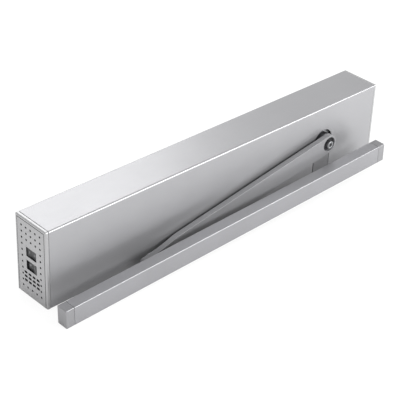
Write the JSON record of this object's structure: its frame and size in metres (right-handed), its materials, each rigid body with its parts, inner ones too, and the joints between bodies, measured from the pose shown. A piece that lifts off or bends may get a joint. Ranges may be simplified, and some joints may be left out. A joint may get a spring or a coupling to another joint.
{
  "type": "automatic door operator",
  "caption": "Swing door operator: a long aluminium case with a perforated end plate and rocker switches, and a lever running in a slide channel.",
  "frame": {"origin": "centre of the case's face that goes against the wall", "axes": "+X along the case towards its spindle end, +Z off the wall towards the front cover, +Y across the case away from the lever and the slide channel"},
  "size_m": [0.6928, 0.122, 0.13],
  "materials": {
    "anodised_aluminium": "satin silver anodised",
    "end_cap_aluminium": "satin silver anodised",
    "end_plate_aluminium": "satin silver anodised sheet",
    "lever_metal": "silver lacquered forging",
    "cast_aluminium": "as cast",
    "zinc_steel": "bright zinc plated",
    "black_steel": "blackened",
    "gear_steel": "machined",
    "ground_steel": "ground",
    "spring_steel": "oil tempered",
    "gear_brass": "machined",
    "motor_winding": "enamelled winding and stack",
    "dark_plastic": "moulded, dark grey",
    "slide_plastic": "moulded acetal",
    "green_laminate": "lacquered glass-fibre laminate",
    "filter_mat": "open-cell mat",
    "buffer_rubber": "moulded"
  },
  "bodies": {
    "operator": {"cover": "anodised_aluminium", "base_plate": "zinc_steel", "left_end_frame": "end_cap_aluminium", "perforated_end_plate": "end_plate_aluminium", "vent_mat": "filter_mat", "right_end_cap": "end_cap_aluminium", "spindle_opening_insert": "anodised_aluminium", "spindle_opening_blank": "anodised_aluminium", "drive_housing_front": "cast_aluminium", "drive_housing_back": "cast_aluminium", "housing_screws": "black_steel", "drive_foot_screws": "zinc_steel", "spindle_bearings": "ground_steel", "idler_pin": "ground_steel", "motor_can": "black_steel", "spring_tube": "cast_aluminium", "tube_saddle": "cast_aluminium", "spring_adjuster": "gear_brass", "closing_spring": "spring_steel", "switch_bodies": "dark_plastic", "board_carrier": "slide_plastic", "control_board": "green_laminate", "board_components": "dark_plastic", "terminal_strip": "green_laminate", "power_supply": "zinc_steel"},
    "spindle": {"output_spindle": "ground_steel", "output_gear": "gear_steel", "cam_disc": "gear_steel", "spindle_extension": "lever_metal", "lever": "lever_metal", "lever_washer": "black_steel", "lever_bolt": "zinc_steel"},
    "idler": {"idler_gear": "gear_steel"},
    "rotor": {"motor_rotor": "motor_winding", "motor_shaft": "ground_steel", "motor_pinion": "gear_brass"},
    "piston": {"spring_piston": "ground_steel", "roller_pin": "ground_steel"},
    "roller": {"cam_roller": "gear_steel"},
    "block": {"slide_block": "slide_plastic", "slide_pin": "ground_steel"},
    "channel": {"slide_channel": "anodised_aluminium", "channel_brackets": "zinc_steel", "channel_end_caps": "end_cap_aluminium", "channel_buffers": "buffer_rubber"},
    "program_switch": {"program_rocker": "dark_plastic"},
    "power_switch": {"power_rocker": "dark_plastic"}
  },
  "joints": [
    {"name": "spindle_turn", "type": "hinge", "parent": "operator", "child": "spindle", "pos_m": [0.2185, 0, 0.0675], "axis": [0, 1, 0], "range_deg": [0, 110], "stiffness_Nm_per_rad": 12},
    {"name": "block_swivel", "type": "hinge", "parent": "spindle", "child": "block", "pos_m": [-0.16287, -0.05, 0.01472], "axis": [0, 1, 0], "continuous": true},
    {"name": "channel_slide", "type": "slide", "parent": "block", "child": "channel", "axis": [0.9996, 0, 0.0279], "range_m": [-0.4259, 0.1339]},
    {"name": "idler_turn", "type": "hinge", "parent": "operator", "child": "idler", "pos_m": [0.271, 0, 0.0675], "axis": [0, 1, 0], "range_deg": [-331, 1]},
    {"name": "rotor_turn", "type": "hinge", "parent": "operator", "child": "rotor", "pos_m": [0.29802, 0, 0.0935], "axis": [0, 1, 0], "range_deg": [-3, 993]},
    {"name": "piston_slide", "type": "slide", "parent": "operator", "child": "piston", "axis": [1, 0, 0], "range_m": [-0.0201, 0.0001], "deforming": ["closing_spring"]},
    {"name": "roller_spin", "type": "hinge", "parent": "piston", "child": "roller", "pos_m": [0.1935, 0, 0.0675], "axis": [0, 1, 0], "continuous": true},
    {"name": "program_rocker_tilt", "type": "hinge", "parent": "operator", "child": "program_switch", "pos_m": [-0.3377, 0, 0.076], "axis": [0, 0, 1], "range_deg": [-8, 8]},
    {"name": "power_rocker_tilt", "type": "hinge", "parent": "operator", "child": "power_switch", "pos_m": [-0.3377, 0, 0.054], "axis": [0, 0, 1], "range_deg": [0, 16]}
  ],
  "couplings": [
    {"joint": "idler_turn", "follows": "spindle_turn", "ratio": -3},
    {"joint": "rotor_turn", "follows": "spindle_turn", "ratio": 9},
    {"joint": "piston_slide", "follows": "spindle_turn", "m_per_rad": -0.010417}
  ]
}
